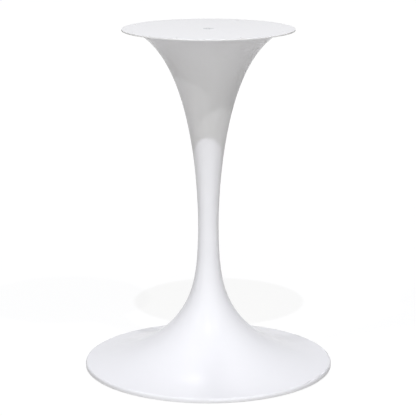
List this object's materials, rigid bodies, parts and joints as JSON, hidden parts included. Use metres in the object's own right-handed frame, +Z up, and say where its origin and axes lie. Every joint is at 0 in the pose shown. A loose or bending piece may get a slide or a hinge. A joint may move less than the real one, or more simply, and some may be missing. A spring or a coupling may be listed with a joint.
{
  "type": "tulip table base",
  "caption": "White cast pedestal base with a wide flared foot, slim waist and trumpet top under a thin round mounting plate for a table top.",
  "frame": {"origin": "on the floor plane, under the column's axis", "axes": "+Z up along the column's axis, -Y towards the viewer of the picture, +X to that viewer's right"},
  "size_m": [0.528, 0.528, 0.725],
  "materials": {
    "powder_coat_casting": "satin",
    "powder_coat_plate": "satin",
    "zinc_steel": "satin",
    "glide_nylon": "matte"
  },
  "bodies": {
    "root": {"pedestal": "powder_coat_casting", "top_plate": "powder_coat_plate", "tie_bolt": "zinc_steel", "clamp_washer": "zinc_steel", "spring_washer": "zinc_steel", "clamp_nut": "zinc_steel", "floor_glides": "glide_nylon"}
  },
  "joints": []
}
